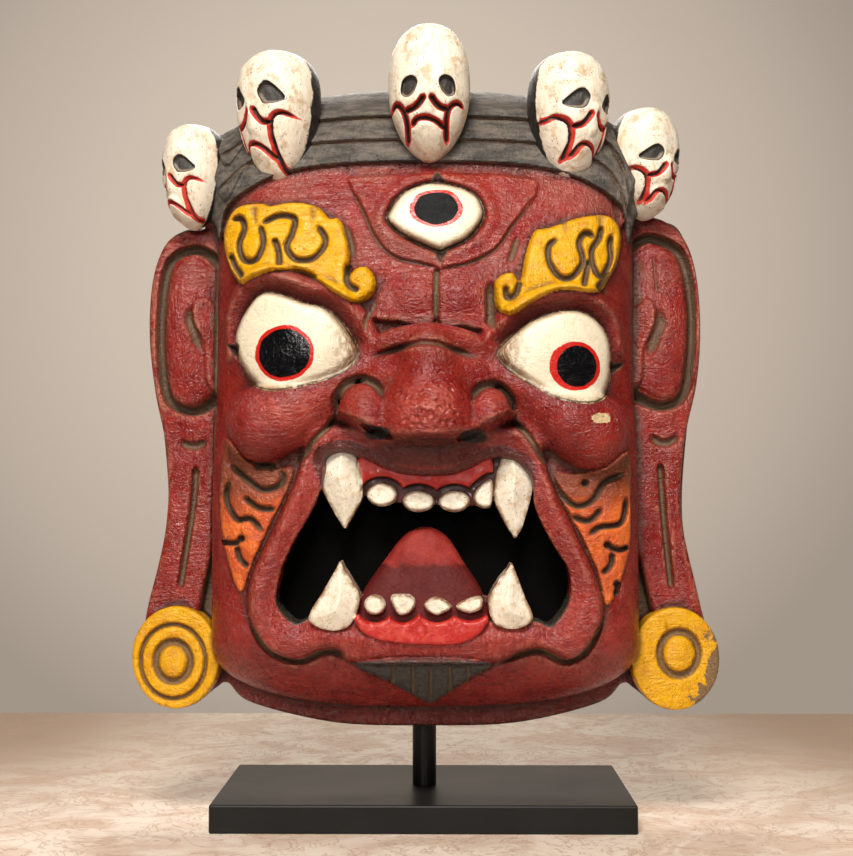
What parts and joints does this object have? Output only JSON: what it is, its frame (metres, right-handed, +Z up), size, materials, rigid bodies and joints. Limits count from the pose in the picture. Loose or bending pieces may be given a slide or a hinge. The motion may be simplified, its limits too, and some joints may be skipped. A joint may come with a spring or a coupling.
{
  "type": "carved wooden dance mask on a display stand",
  "caption": "Carved and painted wooden wrathful mask with a crown of skulls, fanged open mouth and long ears, hung on a black steel display stand.",
  "frame": {"origin": "centre of the underside of the stand's base plate", "axes": "+Z up, the mask faces -Y, +X is to the right as seen from the front"},
  "size_m": [0.389, 0.2209, 0.5121],
  "materials": {
    "painted_wood": "lime-type carved softwood under hand-brushed red lacquer, with yellow, white, black and orange paint and dark patina in the grooves",
    "black_cloth": "matt black cloth",
    "black_steel": "satin black powder coat"
  },
  "bodies": {
    "root": {"mask": "painted_wood", "mouth_cloth": "black_cloth", "stand_post": "black_steel", "stand_base": "black_steel"}
  },
  "joints": []
}
